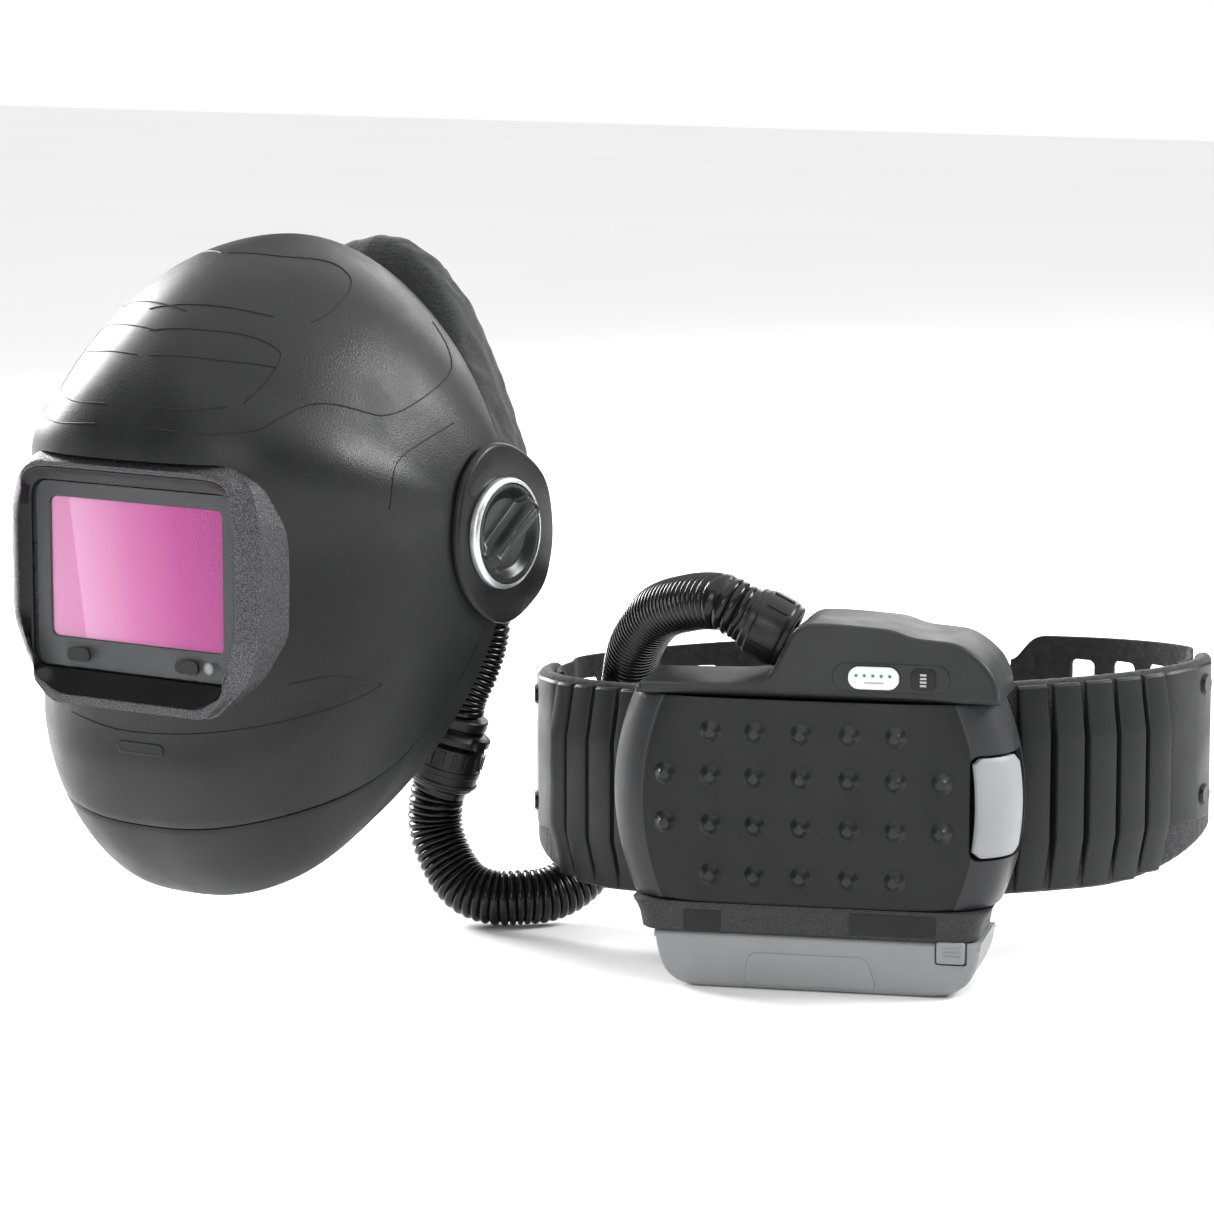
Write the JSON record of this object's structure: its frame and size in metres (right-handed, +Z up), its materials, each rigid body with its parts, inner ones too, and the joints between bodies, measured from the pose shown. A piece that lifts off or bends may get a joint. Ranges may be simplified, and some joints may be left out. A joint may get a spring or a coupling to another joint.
{
  "type": "powered air respirator",
  "caption": "Flip-up welding helmet on a head harness, corrugated air hose, and a battery blower unit on a padded waist belt.",
  "frame": {"origin": "midpoint between the two shield pivots of the helmet", "axes": "+Z up, the wearer faces -Y, the wearer's left is +X"},
  "size_m": [0.4994, 0.536, 0.3959],
  "materials": {
    "shell": "fine-grained charcoal plastic",
    "bezel": "coarse speckled plastic",
    "dark_plastic": "smooth black plastic",
    "filter_glass": "magenta coated dark glass",
    "clear_plastic": "clear polycarbonate",
    "cloth": "woven black cloth",
    "hose": "glossy corrugated plastic hose",
    "blower_plastic": "satin dark grey plastic",
    "battery_plastic": "satin mid grey plastic",
    "light_plastic": "satin light grey plastic",
    "leather": "black suede leather",
    "filter_media": "pleated paper medium",
    "steel": "brushed",
    "board": "coated circuit board"
  },
  "bodies": {
    "harness": {"inner_frame": "dark_plastic", "air_duct": "dark_plastic", "hose_port": "dark_plastic", "headband": "dark_plastic", "crown_strap_front": "dark_plastic", "crown_strap_rear": "dark_plastic", "ratchet_housing": "dark_plastic", "coupling_body": "dark_plastic", "battery_gauge": "dark_plastic", "volute": "dark_plastic", "belt_bracket": "dark_plastic", "strap_buckle": "dark_plastic", "clear_visor": "clear_plastic", "face_seal": "cloth", "head_cover": "cloth", "sweatband": "cloth", "waist_pad": "cloth", "back_strap": "cloth", "upper_hose": "hose", "main_hose": "hose", "rear_case": "blower_plastic", "base_frame": "blower_plastic", "top_cap": "blower_plastic", "belt_flap_left": "leather", "belt_flap_right": "leather", "particle_filter": "filter_media", "prefilter": "filter_media", "pivot_bolt_left": "steel", "pivot_bolt_right": "steel", "motor": "steel", "spark_arrestor": "steel", "rivet_left_upper": "steel", "rivet_left_lower": "steel", "rivet_right_upper": "steel", "rivet_right_lower": "steel", "circuit_board": "board"},
    "welding_shield": {"shield_shell": "shell", "throat_apron": "shell", "front_bezel": "bezel", "filter_case": "dark_plastic", "filter_glass": "filter_glass", "cover_plate": "clear_plastic", "arc_sensor_left": "dark_plastic", "arc_sensor_right": "dark_plastic", "pivot_plate_left": "dark_plastic", "pivot_plate_right": "dark_plastic"},
    "shade_button": {"shade_button": "light_plastic"},
    "knob_left": {"pivot_knob_left": "dark_plastic", "knob_ring_left": "steel"},
    "knob_right": {"pivot_knob_right": "dark_plastic", "knob_ring_right": "steel"},
    "ratchet_knob": {"ratchet_knob": "dark_plastic"},
    "coupling_collar": {"coupling_collar": "dark_plastic"},
    "outlet_sleeve": {"outlet_sleeve": "dark_plastic"},
    "filter_cover": {"filter_cover": "blower_plastic"},
    "cover_latch": {"cover_latch": "light_plastic"},
    "power_button": {"power_button": "light_plastic"},
    "battery_pack": {"battery_pack": "battery_plastic"},
    "battery_latch": {"battery_latch": "light_plastic"},
    "impeller": {"impeller": "light_plastic"}
  },
  "joints": [
    {"name": "shield_flip", "type": "hinge", "parent": "harness", "child": "welding_shield", "pos_m": [0, 0, 0], "axis": [-1, 0, 0], "range_deg": [0, 50]},
    {"name": "shade_press", "type": "slide", "parent": "welding_shield", "child": "shade_button", "axis": [0, -1, 0], "range_m": [0, 0.001], "stiffness_N_per_m": 300},
    {"name": "knob_turn_left", "type": "hinge", "parent": "harness", "child": "knob_left", "pos_m": [0.123, 0, 0], "axis": [1, 0, 0], "range_deg": [0, 90]},
    {"name": "knob_turn_right", "type": "hinge", "parent": "harness", "child": "knob_right", "pos_m": [-0.123, 0, 0], "axis": [-1, 0, 0], "range_deg": [0, 90]},
    {"name": "ratchet_turn", "type": "hinge", "parent": "harness", "child": "ratchet_knob", "pos_m": [0, 0.102, -0.01003], "axis": [0, 1, 0], "continuous": true},
    {"name": "collar_turn", "type": "hinge", "parent": "harness", "child": "coupling_collar", "pos_m": [-0.01227, 0.13524, -0.1379], "axis": [0.2688, 0.0982, 0.9582], "range_deg": [0, 60]},
    {"name": "outlet_turn", "type": "hinge", "parent": "harness", "child": "outlet_sleeve", "pos_m": [0.20808, 0.12079, -0.0572], "axis": [-0.8263, -0.3423, 0.4472], "range_deg": [0, 90]},
    {"name": "cover_open", "type": "hinge", "parent": "harness", "child": "filter_cover", "pos_m": [0.12818, 0.09419, -0.144], "axis": [0, 0, -1], "range_deg": [0, 85]},
    {"name": "latch_slide", "type": "slide", "parent": "filter_cover", "child": "cover_latch", "axis": [0.9239, 0.3827, 0], "range_m": [0, 0.004], "stiffness_N_per_m": 300},
    {"name": "power_press", "type": "slide", "parent": "harness", "child": "power_button", "axis": [-0.3827, 0.9239, 0], "range_m": [0, 0.0003], "stiffness_N_per_m": 400},
    {"name": "battery_slide", "type": "slide", "parent": "harness", "child": "battery_pack", "axis": [0, 0, -1], "range_m": [0, 0.04]},
    {"name": "battery_latch_slide", "type": "slide", "parent": "battery_pack", "child": "battery_latch", "axis": [0, 0, -1], "range_m": [0, 0.001], "stiffness_N_per_m": 300},
    {"name": "fan_spin", "type": "hinge", "parent": "harness", "child": "impeller", "pos_m": [0.22904, 0.13813, -0.147], "axis": [-0.3827, 0.9239, 0], "continuous": true}
  ]
}
